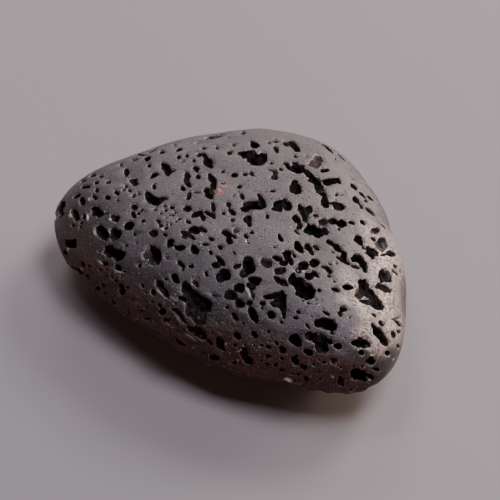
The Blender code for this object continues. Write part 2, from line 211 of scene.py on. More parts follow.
    (243, 323.5, 2.2, 1, 85, 0.9), (281.3, 322, 2.4, 1.3, 70, 0.9), (268.5, 331, 1.4, 1.4, 0, 0.9),
    (253.7, 334.3, 4.6, 3.3, 55, 0.9), (296, 340.7, 7.7, 5.3, 50, 1.3), (310, 336, 6, 5, 40, 0.8),
    (318, 339, 9, 7, 50, 1), (321, 345, 9, 6, 45, 1.2), (330, 342, 4, 3, 40, 0.9),
    (338, 346.3, 5.2, 3.4, 10, 1.1), (307.5, 352.3, 4.6, 2.6, 25, 1),
    (282.5, 350.5, 3.8, 3, 50, 1), (268.5, 347, 2.3, 2.2, 0, 1.2),
    (275.8, 343.2, 2.8, 1.8, 45, 0.7), (296, 356, 1.3, 1.2, 0, 0.9),
    (294.5, 361, 4.6, 3.2, 50, 1.1), (282, 358.7, 2.2, 1.8, 45, 0.9),
    (276, 364.3, 2.6, 2.2, 0, 0.7), (282, 369.5, 3, 2.2, 20, 0.8), (246, 356.5, 8, 4.8, 62, 1.1),
    (305, 366.5, 4.5, 2.4, 20, 0.4), (334.3, 362.5, 5.4, 3.2, 50, 0.9),
    (332, 378, 4, 2.2, 10, 0.6), (341, 384, 5.5, 3.6, 60, 0.8), (326, 369, 2.5, 1.2, 30, 0.5),
    (332, 333.7, 2.2, 1.1, 10, 0.8), (329.5, 275.5, 2.1, 1.3, 20, 0.9),
    (335, 280.5, 1.3, 1, 0, 0.9), (348, 287, 5.8, 3.2, 5, 0.9), (335.7, 290, 4.2, 2.3, 15, 1),
    (342.5, 308.3, 3.3, 3, 0, 1.2), (339.8, 314, 3, 1.7, 60, 0.9), (350, 318, 1.6, 0.9, 50, 0.4),
    (364.5, 285, 7.5, 5.2, 75, 1), (360, 292.5, 5.6, 4.6, 10, 0.9), (368.5, 292, 5, 5, 0, 1.1),
    (375, 296.3, 6, 2.4, 42, 1), (378, 305, 7, 5.2, 35, 1.2), (368, 301.8, 7.5, 2.2, 12, 0.9),
    (384.3, 276.5, 5.7, 5, 50, 1.2), (385, 275.3, 7.6, 6.4, 50, 0.3),
    (383.5, 287.5, 8.7, 4, 25, 0.9), (372.2, 286.3, 1.6, 1, 0, 0.6), (375, 315, 4.4, 3, 35, 0.8),
    (381.2, 323, 3.6, 2.1, 50, 0.9), (374, 326, 5, 2.2, 55, 1), (381, 336, 11, 4.8, 57, 1.2),
    (396, 318.5, 5.5, 1.4, -10, 0.5), (398, 323, 5.2, 1.4, 38, 0.6), (393.5, 335, 3.8, 2, 75, 0.9),
    (398, 346.5, 1.9, 1.3, 0, 0.8), (388, 353.5, 2.6, 1.8, 20, 0.9), (395, 356.5, 3, 1, -50, 0.6),
    (374, 353.5, 2, 1.1, 0, 0.6), (371.5, 361.7, 4.3, 3.6, 20, 1.2), (377, 370, 4.6, 1.9, 20, 0.8),
    (357, 377, 6.5, 4.8, 10, 1.2), (361.5, 379, 5.5, 4.5, 20, 1.2),
    (363.7, 373, 2.4, 1.7, 10, 0.9), (370, 376.7, 4.2, 1.9, 30, 0.9), (353, 343, 2.2, 1.8, 0, 0.8),
    (358, 344, 6, 4, 10, 1.1), (364, 344.3, 5.5, 4.4, 0, 1.1), (369, 345, 2.4, 3, 0, 0.9),
    (361, 339, 4, 1.4, 30, 0.7), (361.5, 353, 3.3, 3.1, 0, 1.1), (399, 332, 1.3, 1, 0, 0.6),
)

# Bites out of the left of the outline, on the same sheet: a place outside it to
# step in from (x, y) and a radius.
NOTCHES = (
    (48, 217.5, 3.0), (58, 273.5, 7.0),
)

# Crumbs, chips and ridges, and small knobs whose paleness is a painted glint:
# x, y, half length, half width, turn, how proud (mm), how pale (0 to 1).
GRAINS_AND_GLINTS = (
    (287.4, 379.3, 4.4, 1.5, 35, 0.12, 1.0),
    (218.5, 191, 2.5, 2.0, 0, 0.14, 0.0),
    (336, 363, 1.6, 1.3, 0, 0.10, 0.9),
    (247.5, 292, 6.0, 0.9, 62, 0.04, 0.25),
    (160, 293, 5.5, 1.2, 40, 0.10, 0.22),
    (174.5, 299.5, 5.0, 1.2, 35, 0.10, 0.22),
    (178, 319, 9.0, 1.2, 58, 0.10, 0.10),
    (190.5, 337, 7.5, 1.2, 34, 0.10, 0.12),
    # from here on, small pale knobs on the walls of the hollows: their paleness is a painted glint
    (70.8, 216, 3.0, 0.7, 80, 0.05, 0.50), (87.6, 217.5, 3.2, 1.0, 85, 0.06, 0.65),
    (89, 199.5, 1.9, 1.2, 90, 0.05, 0.40), (94.5, 233, 3.4, 0.8, 65, 0.05, 0.40),
    (100.5, 262.5, 3.8, 0.9, 35, 0.05, 0.45), (118, 271.5, 3.4, 0.8, 20, 0.05, 0.45),
    (109.5, 232.5, 2.4, 0.8, 70, 0.05, 0.35), (109.7, 219.5, 0.9, 0.8, 0, 0.04, 0.9), (68, 249, 0.9, 0.8, 0, 0.04, 0.7),
    (81.5, 269, 0.9, 0.8, 0, 0.04, 0.8), (163.3, 229.5, 0.9, 0.8, 0, 0.04, 0.7),
    (245.5, 241.3, 0.9, 0.8, 0, 0.04, 0.8), (307, 211.3, 0.9, 0.8, 0, 0.04, 0.8),
    (373.3, 233, 0.9, 0.8, 0, 0.04, 0.8), (298, 270.5, 0.9, 0.8, 0, 0.04, 0.7),
    (303, 271.5, 0.9, 0.8, 0, 0.04, 0.7), (367, 360.7, 1.2, 0.9, 0, 0.05, 0.8),
    (371.5, 355.5, 1.1, 0.9, 0, 0.05, 0.7), (366.5, 345, 1.0, 0.9, 0, 0.05, 0.7),
    (358, 350, 1.0, 0.9, 0, 0.05, 0.6), (369.5, 379.5, 1.0, 0.8, 0, 0.05, 0.8),
    (238, 350.5, 0.9, 0.8, 0, 0.05, 0.7), (238, 360, 0.9, 0.8, 0, 0.05, 0.6),
    (226, 344, 0.9, 0.8, 0, 0.05, 0.6),
)

# Knobs inside the hollows: x, y, half length, half width, turn, how far below
# the skin, half height (mm).
LUMPS = (
    (190, 311, 5.5, 4.5, 60, 0.40, 0.9), (196.5, 318.5, 5, 4, 50, 0.35, 0.9),
    (187.5, 302, 3.5, 3, 40, 0.45, 0.8), (200, 301, 4, 3, 60, 0.95, 0.7),
    (194, 296, 3, 2.5, 60, 0.80, 0.7), (149, 262, 3, 2.2, 20, 0.35, 0.6),
    (284, 283, 4, 3, 40, 0.75, 0.8), (258, 300, 3, 2.5, 0, 0.55, 0.7),
    (370, 300, 3, 1.4, 30, 0.75, 0.6), (306, 343, 4.5, 3, 45, 0.55, 0.8),
    (99, 262, 3.2, 2.6, 10, 0.40, 0.6), (330, 245, 3, 2.5, 20, 0.7, 0.6),
)

# Stains: x, y, half length, half width, turn, strength.
RUST = (
    (88.5, 261.5, 6.5, 4.5, 40, 0.75), (76, 242, 15, 32, -10, 0.30), (120, 290, 26, 9, 35, 0.15),
    (170, 365, 12, 4, 30, 0.35), (255, 372, 16, 5, 20, 0.3),
)
RED = (
    (218.5, 191, 2.5, 2.0, 0, 1.0), (225.5, 185.5, 1.6, 0.9, 0, 0.6), (336, 362, 3.6, 2.6, 0, 0.35),
)

# Crumbly pale crust over the skin, painted brighter as the highlight where the right shoulder meets the light: x, y,
# half length, half width, turn, strength.
CRUST_AND_HIGHLIGHT = (
    # the first mark is a painted highlight along the ridge of the right shoulder
    (361, 302, 26, 6, 68, 0.75),
    (384, 258, 20, 14, 80, 0.9), (381, 300, 22, 12, 80, 0.85), (392, 325, 16, 9, 85, 0.8),
    (352, 285, 14, 6, 55, 0.7), (366, 334, 10, 8, 0, 0.75), (377, 345, 11, 8, 60, 0.6),
    (370, 232, 12, 7, 60, 0.5), (345, 300, 7, 4, 20, 0.5),
)



# ---- fields ------------------------------------------------------------------
def closed_spline(radii):
    """Radius as a smooth closed curve through evenly spaced radii."""
    n = len(radii)
    a = np.zeros((n, n))
    for i in range(n):
        a[i, i - 1] += 1 / 6
        a[i, i] += 4 / 6
        a[i, (i + 1) % n] += 1 / 6
    control = np.linalg.solve(a, np.array(radii))

    def at(turn):
        u = np.mod(turn / (2 * np.pi) * n, n)
        i = np.floor(u).astype(int)
        t = u - i
        p = [control[(i + k) % n] for k in (-1, 0, 1, 2)]
        return (p[0] * (1 - t) ** 3 + p[1] * (3 * t ** 3 - 6 * t * t + 4)
                + p[2] * (-3 * t ** 3 + 3 * t * t + 3 * t + 1) + p[3] * t ** 3) / 6
    return at


def smax(a, b, k):
    h = np.maximum(k - np.abs(a - b), 0.0)
    return np.maximum(a, b) + h * h * (0.25 / k)


def taps(count, cell):
    """Rows of cubic weights that stretch a coarse lattice over a fine axis."""
    u = np.arange(count) / cell
    i = np.floor(u).astype(int)
    t = u - i
    w = np.zeros((count, i[-1] + 4), dtype=np.float32)
    rows = np.arange(count)
    w[rows, i] = (1 - t) ** 3 / 6
    w[rows, i + 1] = (3 * t ** 3 - 6 * t * t + 4) / 6
    w[rows, i + 2] = (-3 * t ** 3 + 3 * t * t + 3 * t + 1) / 6
    w[rows, i + 3] = t ** 3 / 6
    return w


def noise(cell_mm, seed, squash=(1, 1, 1)):
    """Smooth random field over the grid, with unit spread."""
    w = [taps(n, cell_mm * s / VOXEL) for n, s in zip(CELLS, squash)]
    rng = np.random.default_rng(seed)
    lattice = rng.standard_normal([x.shape[1] for x in w]).astype(np.float32)
    out = np.tensordot(w[0], lattice, (1, 0))
    out = np.tensordot(out, w[1], (1, 1)).transpose(0, 2, 1)
    out = out @ w[2].T
    return out / np.float32(out[::7, ::7, ::7].std())


def axis(k):
    return (ORIGIN[k] + VOXEL * np.arange(CELLS[k])).astype(np.float32)


def body_field():
    x, y, z = axis(0) - POLE[0], axis(1) - POLE[1], axis(2) - MIDDLE
    gx, gy = np.meshgrid(x, y, indexing="ij")
    radius = closed_spline(OUTLINE)(np.arctan2(gy, gx))
    plan = (np.hypot(gx, gy) / radius) ** SQUARENESS
    rise = z[None, :] - np.float32(LEAN) * y[:, None]
    rise = np.abs(rise) / (THICKNESS * np.where(rise > 0, SHOULDER, 1 - SHOULDER))
    rise = rise ** SQUARENESS
    level = plan[:, :, None].astype(np.float32) + rise[None, :, :].astype(np.float32)
    level **= np.float32(1 / SQUARENESS)
    slope = np.zeros_like(level)
    for k in range(3):
        g = np.gradient(level, VOXEL, axis=k)
        slope += g * g
    level -= 1
    level /= np.sqrt(np.maximum(slope, 1e-5))
    for a, b, c, d in SWELLS:
        flat = a * gx + b * gy + d
        lift = c * z
        level -= np.float32(SWELL) * (
            np.sin(flat)[:, :, None] * np.cos(lift)[None, None, :]
            + np.cos(flat)[:, :, None] * np.sin(lift)[None, None, :]).astype(np.float32)
    return level


def meshed(field, step=1):
    grid = openvdb.FloatGrid(3.0)
    grid.copyFromArray(np.clip(field[::step, ::step, ::step], -1.0, 1.0), tolerance=0.0)
    points, quads = grid.convertToQuads(isovalue=0.0)
    return points * (VOXEL * step) + ORIGIN, quads


def sample(field, points):
    """Field values at points in mm, blended between grid cells."""
    u = (points - ORIGIN) / VOXEL
    u = np.clip(u, 0, np.array(CELLS) - 1.001)
    i = np.floor(u).astype(int)
    t = (u - i).astype(np.float32)
    total = np.zeros(len(points), dtype=np.float32)
    for dx in (0, 1):
        for dy in (0, 1):
            for dz in (0, 1):
                w = (np.abs(1 - dx - t[:, 0]) * np.abs(1 - dy - t[:, 1])
                     * np.abs(1 - dz - t[:, 2]))
                total += w * field[i[:, 0] + dx, i[:, 1] + dy, i[:, 2] + dz]
    return total


def slope_at(field, points, reach=0.1):
    g = np.stack([sample(field, points + reach * e) - sample(field, points - reach * e)
                  for e in np.eye(3)], axis=-1)
    return g / np.maximum(np.linalg.norm(g, axis=1, keepdims=True), 1e-6)


# ---- carving -----------------------------------------------------------------
class Carver:
    def __init__(self, field):
        self.field = field
        self.fine = noise(0.26, 11)
        self.coarse = noise(0.7, 12)

    def hollow(self, centre, axes, rounding, wobble):
        """Takes an ellipsoid away. axes holds its three half axes as columns."""
        reach = np.sqrt((axes ** 2).sum(1)) + 0.35
        lo = np.maximum(np.floor((centre - reach - ORIGIN) / VOXEL).astype(int), 0)
        hi = np.minimum(np.ceil((centre + reach - ORIGIN) / VOXEL).astype(int) + 1, CELLS)
        if (hi - lo < 2).any():
            return
        inv = np.linalg.inv(axes)
        px, py, pz = (ORIGIN[k] + VOXEL * np.arange(lo[k], hi[k]) - centre[k] for k in range(3))
        q = [inv[r, 0] * px[:, None, None] + inv[r, 1] * py[None, :, None]
             + inv[r, 2] * pz[None, None, :] for r in range(3)]
        k0 = np.sqrt(q[0] ** 2 + q[1] ** 2 + q[2] ** 2)
        k1 = np.sqrt(sum((inv[0, c] * q[0] + inv[1, c] * q[1] + inv[2, c] * q[2]) ** 2
                         for c in range(3)))
        away = k0 * (k0 - 1) / np.maximum(k1, 1e-4)
        part = tuple(slice(a, b) for a, b in zip(lo, hi))
        away = away + wobble * (0.5 * self.fine[part] + 0.7 * self.coarse[part])
        self.field[part] = smax(self.field[part], -away.astype(np.float32), rounding)

    def bump(self, centre, axes, rounding):
        """Adds an ellipsoid, such as a grain stuck in the surface."""
        reach = np.sqrt((axes ** 2).sum(1)) + 0.35
        lo = np.maximum(np.floor((centre - reach - ORIGIN) / VOXEL).astype(int), 0)
        hi = np.minimum(np.ceil((centre + reach - ORIGIN) / VOXEL).astype(int) + 1, CELLS)
        inv = np.linalg.inv(axes)
        px, py, pz = (ORIGIN[k] + VOXEL * np.arange(lo[k], hi[k]) - centre[k] for k in range(3))
        q = [inv[r, 0] * px[:, None, None] + inv[r, 1] * py[None, :, None]
             + inv[r, 2] * pz[None, None, :] for r in range(3)]
        k0 = np.sqrt(q[0] ** 2 + q[1] ** 2 + q[2] ** 2)
        k1 = np.sqrt(sum((inv[0, c] * q[0] + inv[1, c] * q[1] + inv[2, c] * q[2]) ** 2
                         for c in range(3)))
        away = (k0 * (k0 - 1) / np.maximum(k1, 1e-4)).astype(np.float32)
        part = tuple(slice(a, b) for a, b in zip(lo, hi))
        self.field[part] = -smax(-self.field[part], -away, rounding)

    def vesicle(self, centre, normal, along, across, depth_factor, rng):
        """One opening on the surface, with its hollow and the bubbles in its wall."""
        la, lb = np.linalg.norm(along), np.linalg.norm(across)
        small = min(la, lb)
        deep = min(2.2, depth_factor * rng.uniform(0.9, 1.2) * (0.2 + 1.05 * small + 0.3 * max(la, lb)))
        sink = 0.0 if depth_factor < 0.85 else rng.uniform(0.22, 0.45) + 0.1 * (depth_factor > 1.05)
        grow = 1 / math.sqrt(1 - sink * sink)
        axes = np.stack([along * grow, across * grow, normal * deep], axis=1)
        middle = centre - normal * deep * sink
        rounding = min(0.07, 0.03 + 0.05 * small)
        self.hollow(middle, axes, rounding, min(0.20, 0.18 * small + 0.02))
        if small < 0.36 or depth_factor < 0.7:
            return
        for _ in range(int(rng.uniform(1.5, 3.5) + 3.2 * la)):
            d = np.array([rng.gauss(0, 1) for _ in range(3)])
            d /= np.linalg.norm(d)
            d[2] = -abs(d[2]) * 0.9 + 0.12
            r = rng.uniform(0.16, 0.42) * small
            at = middle + axes @ (d * rng.uniform(0.8, 1.02))
            self.hollow(at, np.diag((r, r * rng.uniform(0.7, 1.2), r * rng.uniform(0.7, 1.2))),
                        0.05, 0.02)


def through_sheet(tree, x, y):
    ray = RIGHT * (x - 250) * UNIT + UP * (250 - y) * UNIT - BACK * DISTANCE
    ray /= np.linalg.norm(ray)
    hit, normal = tree.ray_cast(Vector(EYE), Vector(ray))[:2]
    if hit is None:
        return None
    return np.array(hit), np.array(normal), ray


def laid_on(hit, normal, ray, a, b, turn, stretch=2.1):
    """The two half axes on the surface that look like a, b and turn on the sheet."""
    t = math.radians(turn)
    reach = np.linalg.norm(hit - EYE) / DISTANCE * UNIT
    axes = []
    for d, size in ((RIGHT * math.cos(t) - UP * math.sin(t), a),
                    (RIGHT * math.sin(t) + UP * math.cos(t), b)):
        slid = d - ray * (d @ normal) / (ray @ normal)
        slid *= min(1.0, stretch / np.linalg.norm(slid))
        axes.append(slid * size * reach)
    return axes
def carve_near_side(carver, tree):
    for i, (x, y, a, b, turn, factor) in enumerate(VESICLES):
        found = through_sheet(tree, x, y)
        if found is None:
            continue
        hit, normal, ray = found
        # seen at a slant, the lit far wall narrows an opening
        slant = 1.0 + 0.35 * np.clip((0.6 + ray @ normal) / 0.45, 0, 1)
        more = 0.15 + 0.45 * np.clip(2.2 - a, 0, 1)
        along, across = laid_on(hit, normal, ray, a * slant + more, b * slant + more, turn)
        carver.vesicle(hit, normal, along, across, factor, random.Random(1000 + i))
    for x, y, radius in NOTCHES:
        # step in from outside, up to the very edge of the outline
        found = None
        while found is None:
            x += 0.5
            found = through_sheet(tree, x, y)
        hit, normal, ray = found
        size = radius * UNIT
        across = np.cross(normal, ray)
        across /= np.linalg.norm(across)
        carver.hollow(hit + normal * size * 0.45,
                      np.stack([ray * 4.5, across * size, np.cross(ray, across) * size], axis=1),
                      0.15, 0.06)


def pepper_flank(carver, tree):
    """The small, shallow bubbles that make the front flank rough."""
    rng = random.Random(11)
    placed = [(x, y, max(a, b)) for x, y, a, b, _, _ in VESICLES]
    for _ in range(1500):
        x, y = rng.uniform(84, 392), rng.uniform(262, 394)
        a = min(2.9, 1.1 * math.exp(abs(rng.gauss(0, 0.45))))
        if any((x - u) ** 2 + (y - v) ** 2 < (1.05 * (a + r) + 1.2) ** 2 for u, v, r in placed):
            continue
        found = through_sheet(tree, x, y)
        if found is None:
            continue
        hit, normal, ray = found
        if normal @ np.array((-0.35, -0.85, -0.45)) < rng.uniform(0.42, 0.62):
            continue
        placed.append((x, y, a + 1.5))
        along, across = laid_on(hit, normal, ray, a * rng.uniform(1.0, 1.7), a,
                                rng.uniform(0, 70))
        carver.vesicle(hit, normal, along, across, rng.choice((0.5, 0.7, 0.9)), rng)


def add_grains(carver, tree):
    """Crumbs, chips and small ridges that stand proud of the skin, and the knobs under the painted glints."""
    for x, y, a, b, turn, proud, _ in GRAINS_AND_GLINTS:
        found = through_sheet(tree, x, y)
        if found is None:
            continue
        hit, normal, ray = found
        along, across = laid_on(hit, normal, ray, a, b, turn, 1.5)
        carver.bump(hit + normal * (proud - 0.35 * b * UNIT),
                    np.stack([along, across, normal * 0.6 * b * UNIT], axis=1), 0.05)


def add_lumps(carver, tree):
    """Knobs of rock left standing on the floor of the larger hollows."""
    for x, y, a, b, turn, under, tall in LUMPS:
        found = through_sheet(tree, x, y)
        if found is None:
            continue
        hit, normal, ray = found
        along, across = laid_on(hit, normal, ray, a, b, turn, 1.5)
        carver.bump(hit - normal * (under + tall),
                    np.stack([along, across, normal * tall], axis=1), 0.12)


def carve_far_side(carver, tree):
    """The same kind of vesicles on the back, the ends and the underside."""
    rng = random.Random(5)
    placed = []
    tries = 0
    while tries < 9000 and len(placed) < 620:
        tries += 1
        u = np.array([rng.gauss(0, 1), rng.gauss(0, 1), rng.gauss(0, 1)])
        u /= np.linalg.norm(u)
        start = np.array((POLE[0], POLE[1], MIDDLE))
        hit, normal = tree.ray_cast(Vector(start + u * 60), Vector(-u))[:2]
        if hit is None:
            continue
        hit, normal = np.array(hit), np.array(normal)
        away = (EYE - hit) / np.linalg.norm(EYE - hit)
        edge = -0.20 if hit[1] < -6 and hit[0] > -12 else 0.02
        if normal @ away > edge or (hit[2] < 0.05 and rng.random() < 0.25):
            continue
        size = min(1.15, 0.20 * math.exp(abs(rng.gauss(0, 0.75))))
        if any((hit - c) @ (hit - c) < (0.75 * (size + s) + 0.25) ** 2 for c, s in placed):
            continue
        placed.append((hit, size))
        grain = np.array((0.8, -0.5, 0.3)) + 0.35 * np.array([rng.gauss(0, 1) for _ in range(3)])
        along = grain - normal * (grain @ normal)
        along /= np.linalg.norm(along)
        across = np.cross(normal, along)
        longer = rng.uniform(1.0, 1.9)
        factor = rng.choice((0.6, 0.9, 1.0, 1.1, 1.2))
        carver.vesicle(hit, normal, along * size * longer, across * size, factor, rng)
        lobes = rng.random()
        if size > 0.35 and lobes < 0.45:
            for _ in range(1 + (lobes < 0.2)):
                turn = rng.uniform(0, 2 * math.pi)
                shift = (along * math.cos(turn) * longer + across * math.sin(turn)) * size
                small = size * rng.uniform(0.45, 0.8)
                carver.vesicle(hit + shift, normal, along * small * rng.uniform(1, 1.6),
                               across * small, factor, rng)


def biggest_shell(points, quads):
    """Keeps the one closed skin, without crumbs cut loose inside the vesicles."""
    label = np.arange(len(points))
    while True:
        low = label[quads].min(axis=1)
        new = label.copy()
        for k in range(4):
            np.minimum.at(new, quads[:, k], low)
        new = new[new]
        if (new == label).all():
            break
        label = new
    names, counts = np.unique(label, return_counts=True)
    keep = label == names[counts.argmax()]
    index = np.cumsum(keep) - 1
    return points[keep], index[quads[keep[quads[:, 0]]]]


def as_mesh(name, points, faces):
    mesh = bpy.data.meshes.new(name)
    size = faces.shape[1]
    mesh.vertices.add(len(points))
    mesh.vertices.foreach_set("co", (points * 0.001).astype(np.float32).ravel())
    mesh.loops.add(faces.size)
    mesh.loops.foreach_set("vertex_index", faces.astype(np.int32).ravel())
    mesh.polygons.add(len(faces))
    mesh.polygons.foreach_set("loop_start", np.arange(0, faces.size, size, dtype=np.int32))
    mesh.update(calc_edges=True)
    mesh.validate()
    return mesh


def coordinates(mesh):
    flat = np.empty(len(mesh.vertices) * 3, dtype=np.float32)
    mesh.vertices.foreach_get("co", flat)
    return flat.reshape(-1, 3).astype(np.float64) * 1000


def place_vertices(mesh, points):
    mesh.vertices.foreach_set("co", (points * 0.001).astype(np.float32).ravel())
    mesh.update()


def stretch(points):
    """How much the thinning sees each point enlarged: more on the front and top."""
    away = points - HEART
    away /= np.linalg.norm(away, axis=1, keepdims=True)
    towards = np.maximum(away @ BACK, away @ np.array((0.0, 0.1, 0.99)))
    t = np.clip((towards + 0.25) / 0.5, 0, 1)
    return (1 + 1.9 * t * t * (3 - 2 * t))[:, None]


def thinned(obj, wanted):
    """Fewer triangles, the most of them kept where the stone is looked at."""
    points = coordinates(obj.data)
    place_vertices(obj.data, HEART + (points - HEART) * stretch(points))
    obj.data.calc_loop_triangles()
    have = len(obj.data.loop_triangles)
    if have > wanted:
        thin = obj.modifiers.new("thin", "DECIMATE")
        thin.ratio = wanted / have
        thin.use_collapse_triangulate = True
        bpy.context.view_layer.update()
        done = bpy.data.meshes.new_from_object(
            obj.evaluated_get(bpy.context.evaluated_depsgraph_get()))
        obj.modifiers.clear()
        old = obj.data
        obj.data = done
        bpy.data.meshes.remove(old)
    points = coordinates(obj.data)
    place_vertices(obj.data, HEART + (points - HEART) / stretch(points))


def put_attribute(mesh, name, values):
    attribute = mesh.attributes.new(name, "FLOAT", "POINT")
    attribute.data.foreach_set("value", values.astype(np.float32))


def on_sheet(points):
    """Where each point lies on the sheet that the openings are laid out on."""
    away = points - EYE
    scale = DISTANCE / UNIT / -(away @ BACK)
    return 250 + away @ RIGHT * scale, 250 - away @ UP * scale


def stain(points, normals, marks, soft):
    """A soft-edged cover of 0 to 1 from oval marks on the side that faces the eye."""
    x, y = on_sheet(points)
    facing = ((EYE - points) * normals).sum(1) > 0
    cover = np.zeros(len(points))
    for mx, my, a, b, turn, amount in marks:
        t = math.radians(turn)
        dx, dy = x - mx, y - my
        u = (dx * math.cos(t) + dy * math.sin(t)) / a
        v = (-dx * math.sin(t) + dy * math.cos(t)) / b
        r = np.sqrt(u * u + v * v)
        cover = np.maximum(cover, amount * np.clip((1 + soft - r) / (2 * soft), 0, 1))
    return cover * facing


def slanted_openings(tree):
    """The openings where the skin turns away, whose walls get painted shade right up to the rim."""
    found = []
    for x, y, a, b, turn, factor in VESICLES:
        struck = through_sheet(tree, x, y)
        if struck is not None and factor > 0.55:
            amount = min(1.0, (0.62 + struck[2] @ struck[1]) / 0.25)
            if amount > 0:
                found.append((x, y, a, b, turn, amount))
    return found


def skin_field():
    """The body with the skin's own unevenness and the flat worn underneath."""
    worn = body_field()
    lumps = 0.13 * noise(1.0, 3) + 0.09 * noise(0.5, 4, (1.6, 1, 1))
    front = -0.35 * axis(0)[:, None] - 0.85 * axis(1)[None, :]
    lumps *= np.maximum(np.clip((front - 9) / 3, 0, 1)[:, :, None]
                        * np.clip((12.3 - axis(2)) / 2.5, 0, 1),
                        0.5 * np.clip((6 - axis(2)) / 3, 0, 1)).astype(np.float32)
    skin = worn + 0.045 * noise(3.0, 1) + 0.018 * noise(1.3, 2) + lumps
    return worn, smax(skin, np.broadcast_to(-axis(2), CELLS), 0.5).astype(np.float32)


def make_stone():
    worn, skin = skin_field()
    points, quads = meshed(worn, 3)
    tree = BVHTree.FromPolygons([Vector(p) for p in points], quads.tolist())
    if tree.ray_cast(Vector(EYE), Vector(AIM - EYE))[1].dot(Vector(BACK)) < 0:
        tree = BVHTree.FromPolygons([Vector(p) for p in points], quads[:, ::-1].tolist())

    smooth = skin.copy()
    carver = Carver(skin)
    carve_near_side(carver, tree)
    pepper_flank(carver, tree)
    carve_far_side(carver, tree)
    add_lumps(carver, tree)
    add_grains(carver, tree)
    points, quads = meshed(carver.field)
    points, quads = biggest_shell(points, quads)
    mesh = as_mesh("stone_skin", points, quads)
    stone = bpy.data.objects.new("stone_skin", mesh)
    bpy.context.scene.collection.objects.link(stone)
    thinned(stone, TRIANGLES)
    mesh = stone.data
    where = coordinates(mesh)
    # outward faces
    out = slope_at(carver.field, where)
    normals = np.empty(len(where) * 3, dtype=np.float32)
    mesh.vertices.foreach_get("normal", normals)
    if (normals.reshape(-1, 3) * out).sum(1).mean() < 0:
        mesh.flip_normals()
    depth = -sample(smooth, where)
    put_attribute(mesh, "depth", np.clip(depth, 0, 3))
    # the rough, rusty flank: the front-left slope, and low down all around
    lie = slope_at(worn, where)
    front = lie @ np.array((-0.35, -0.85, -0.45))
    put_attribute(mesh, "flank", np.maximum(np.clip((front - 0.28) / 0.40, 0, 1),
                                            np.clip((6.5 - where[:, 2]) / 3, 0, 1)))
    # painted shade: the walls seen through slanted openings take the dark hollow colour
    put_attribute(mesh, "painted_slant_shade", stain(where, out, slanted_openings(tree), 0.2)
                  * np.clip((depth - 0.03) / 0.06, 0, 1))
    # pale chips and crumbs, and painted glints in the hollows
    put_attribute(mesh, "pale_and_glint", stain(
        where, out, [(x, y, a, b, turn, pale_and_glint_amount) for x, y, a, b, turn, _, pale_and_glint_amount in GRAINS_AND_GLINTS], 0.25))
    put_attribute(mesh, "rust", stain(where, out, RUST, 0.5))
    # pale crust and painted highlight on the end nearest the light
    put_attribute(mesh, "crust_and_highlight", stain(where, out, CRUST_AND_HIGHLIGHT, 0.7))
    put_attribute(mesh, "red", stain(where, out, RED, 0.35))
    mesh.shade_smooth()
    mesh.normals_split_custom_set_from_vertices(out)
    return stone


# ---- materials ---------------------------------------------------------------
class Nodes:
    def __init__(self, name):
        self.material = bpy.data.materials.new(name)
        self.material.use_nodes = True
        self.tree = self.material.node_tree
        self.shader = self.tree.nodes["Principled BSDF"]

    def add(self, kind, values=None, **settings):
        node = self.tree.nodes.new(kind)
        for k, v in settings.items():
            setattr(node, k, v)
        for k, v in (values or {}).items():
            if isinstance(v, bpy.types.NodeSocket):
                self.tree.links.new(v, node.inputs[k])
            else:
                node.inputs[k].default_value = v
        return node

    def math(self, operation, a, b=0.0, clamp=False):
        return self.add("ShaderNodeMath", {0: a, 1: b}, operation=operation,
                        use_clamp=clamp).outputs[0]

    def ramp(self, value, low, high, to_low=0.0, to_high=1.0):
        return self.add("ShaderNodeMapRange",
                        {"Value": value, "From Min": low, "From Max": high,
                         "To Min": to_low, "To Max": to_high}).outputs["Result"]

    def mix(self, factor, a, b):
        node = self.add("ShaderNodeMix", {0: factor}, data_type="RGBA")
        for socket, v in ((node.inputs[6], a), (node.inputs[7], b)):
            if isinstance(v, bpy.types.NodeSocket):
                self.tree.links.new(v, socket)
            else:
                socket.default_value = (*v, 1.0)
        return node.outputs[2]

    def noise(self, place, scale, detail=2.0, rough=0.5):
        return self.add("ShaderNodeTexNoise",
                        {"Vector": place, "Scale": scale, "Detail": detail,
                         "Roughness": rough}).outputs["Fac"]

    def dots(self, place, scale, share, radius):
        """Round dots of 0 to 1: share of the cells hold one of about this radius."""
        cells = self.add("ShaderNodeTexVoronoi", {"Vector": place, "Scale": scale})
        pick = self.add("ShaderNodeSeparateColor", {0: cells.outputs["Color"]}).outputs
        size = self.ramp(pick[0], 1 - share, 1.0, 0.0, radius * scale)
        away = self.math("SUBTRACT", size, cells.outputs["Distance"])
        return self.ramp(away, 0.0, 0.35 * radius * scale)

    def attribute(self, name):
        return self.add("ShaderNodeAttribute", attribute_name=name).outputs["Fac"]

    def link(self, out, *names):
        for name in names:
            self.tree.links.new(out, self.shader.inputs[name])


